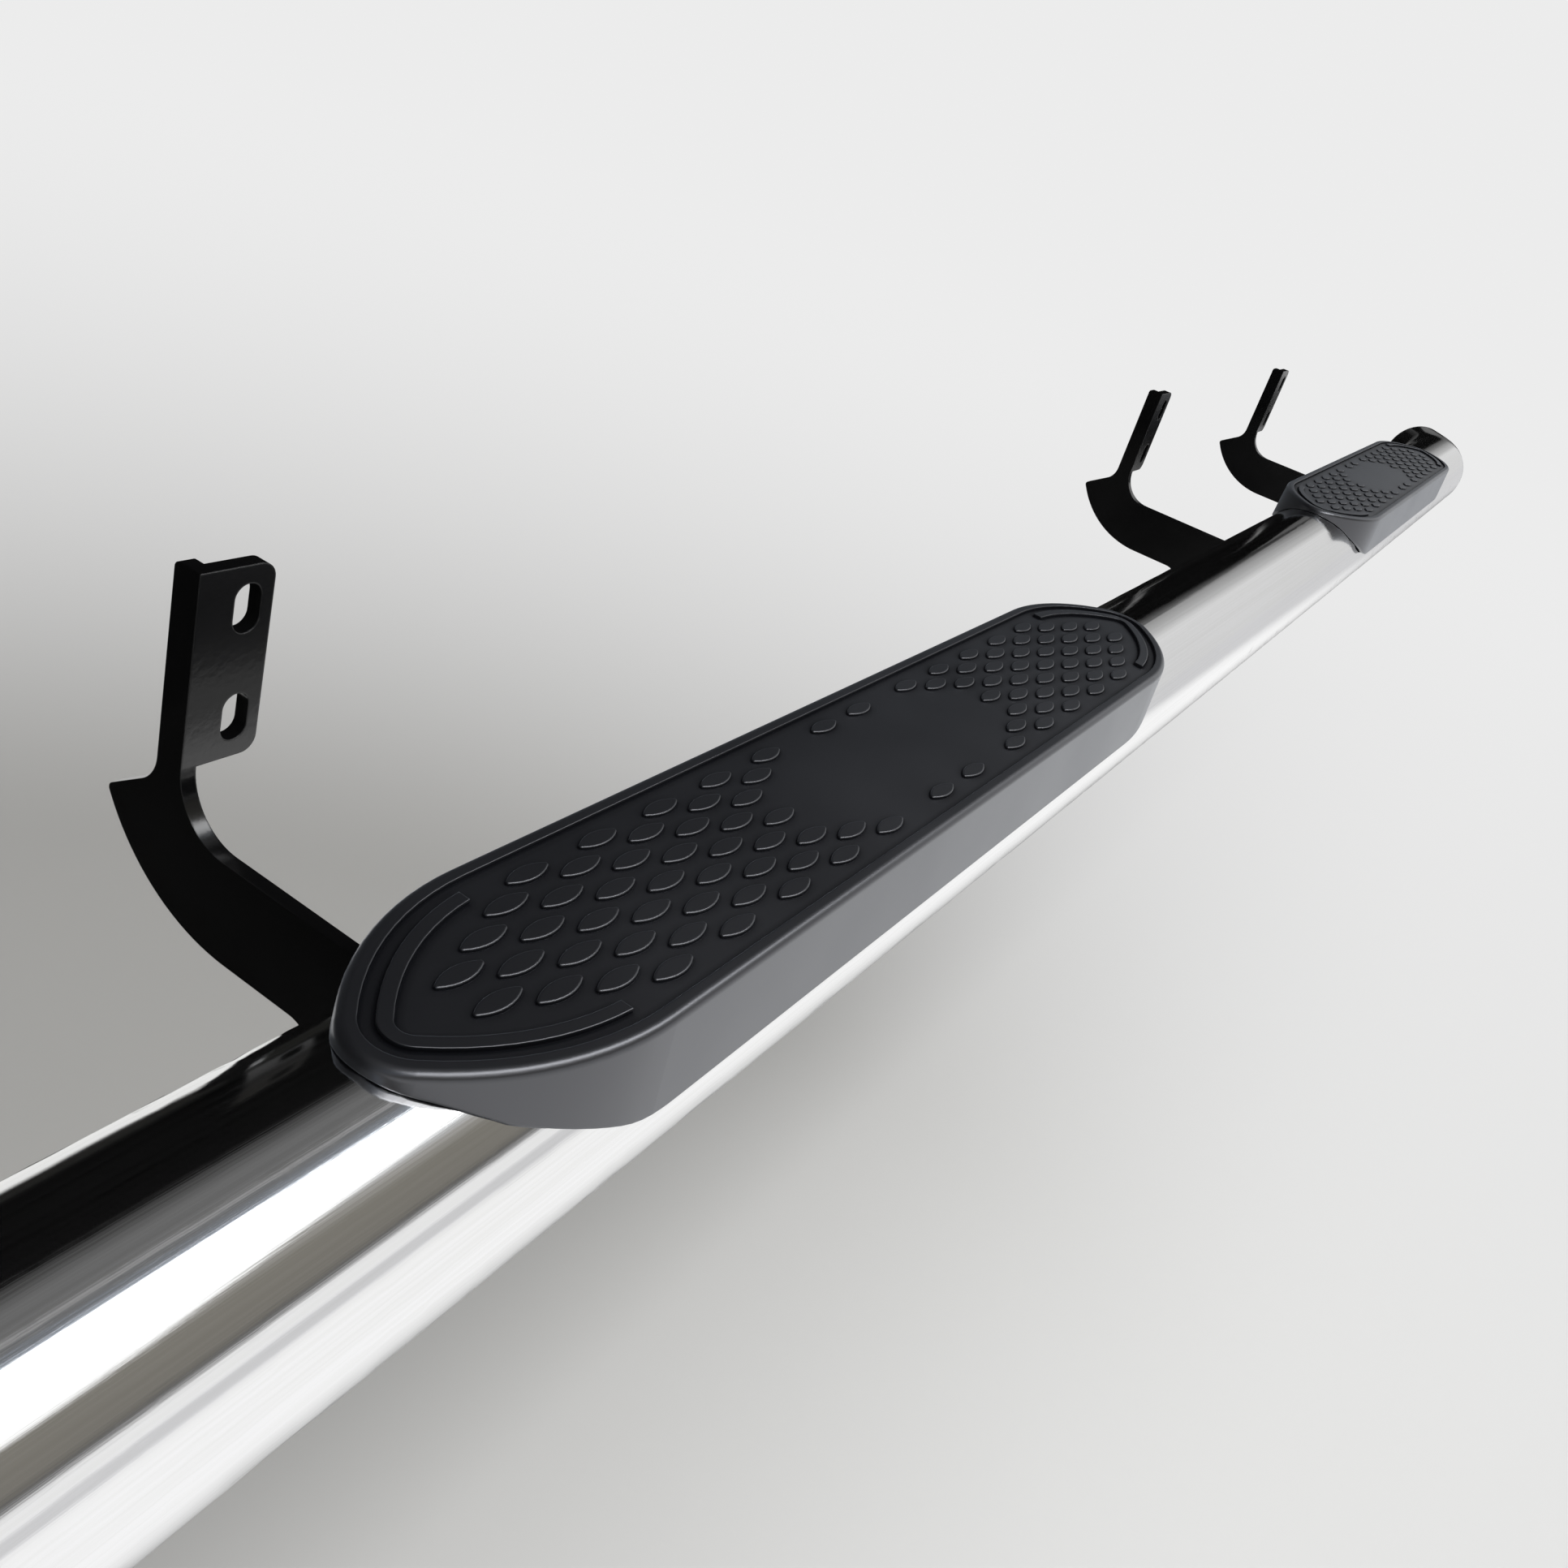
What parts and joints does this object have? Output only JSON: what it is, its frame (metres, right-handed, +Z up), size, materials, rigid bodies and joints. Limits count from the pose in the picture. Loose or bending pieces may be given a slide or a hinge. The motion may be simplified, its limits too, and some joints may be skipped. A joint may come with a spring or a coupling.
{
  "type": "side step bar",
  "caption": "Side step bar: a bent polished tube with moulded step pads on top and plate brackets that hang it from a vehicle's sill.",
  "frame": {"origin": "middle of the middle bracket's two slots, on the face of its foot that seats on the sill flange", "axes": "+X along the straight tube to the bar's front end, +Y inboard towards the vehicle, +Z up"},
  "size_m": [2.0362, 0.188, 0.15],
  "materials": {
    "polished_stainless": "polished",
    "pad_plastic": "fine moulded grain",
    "cap_plastic": "satin",
    "clip_plastic": "satin",
    "black_powder_coat": "gloss powder coat",
    "bush_steel": "turned",
    "zinc_steel": "zinc plated"
  },
  "bodies": {
    "root": {"tube": "polished_stainless", "end_cap_rear": "cap_plastic", "step_pad_rear": "pad_plastic", "pad_clips_rear": "clip_plastic", "end_cap_front": "cap_plastic", "step_pad_front": "pad_plastic", "pad_clips_front": "clip_plastic", "bracket_rear": "black_powder_coat", "threaded_bushes_rear": "bush_steel", "flat_washers_rear": "zinc_steel", "lock_washers_rear": "zinc_steel", "saddle_bolts_rear": "zinc_steel", "bracket_middle": "black_powder_coat", "threaded_bushes_middle": "bush_steel", "flat_washers_middle": "zinc_steel", "lock_washers_middle": "zinc_steel", "saddle_bolts_middle": "zinc_steel", "bracket_front": "black_powder_coat", "threaded_bushes_front": "bush_steel", "flat_washers_front": "zinc_steel", "lock_washers_front": "zinc_steel", "saddle_bolts_front": "zinc_steel"}
  },
  "joints": []
}
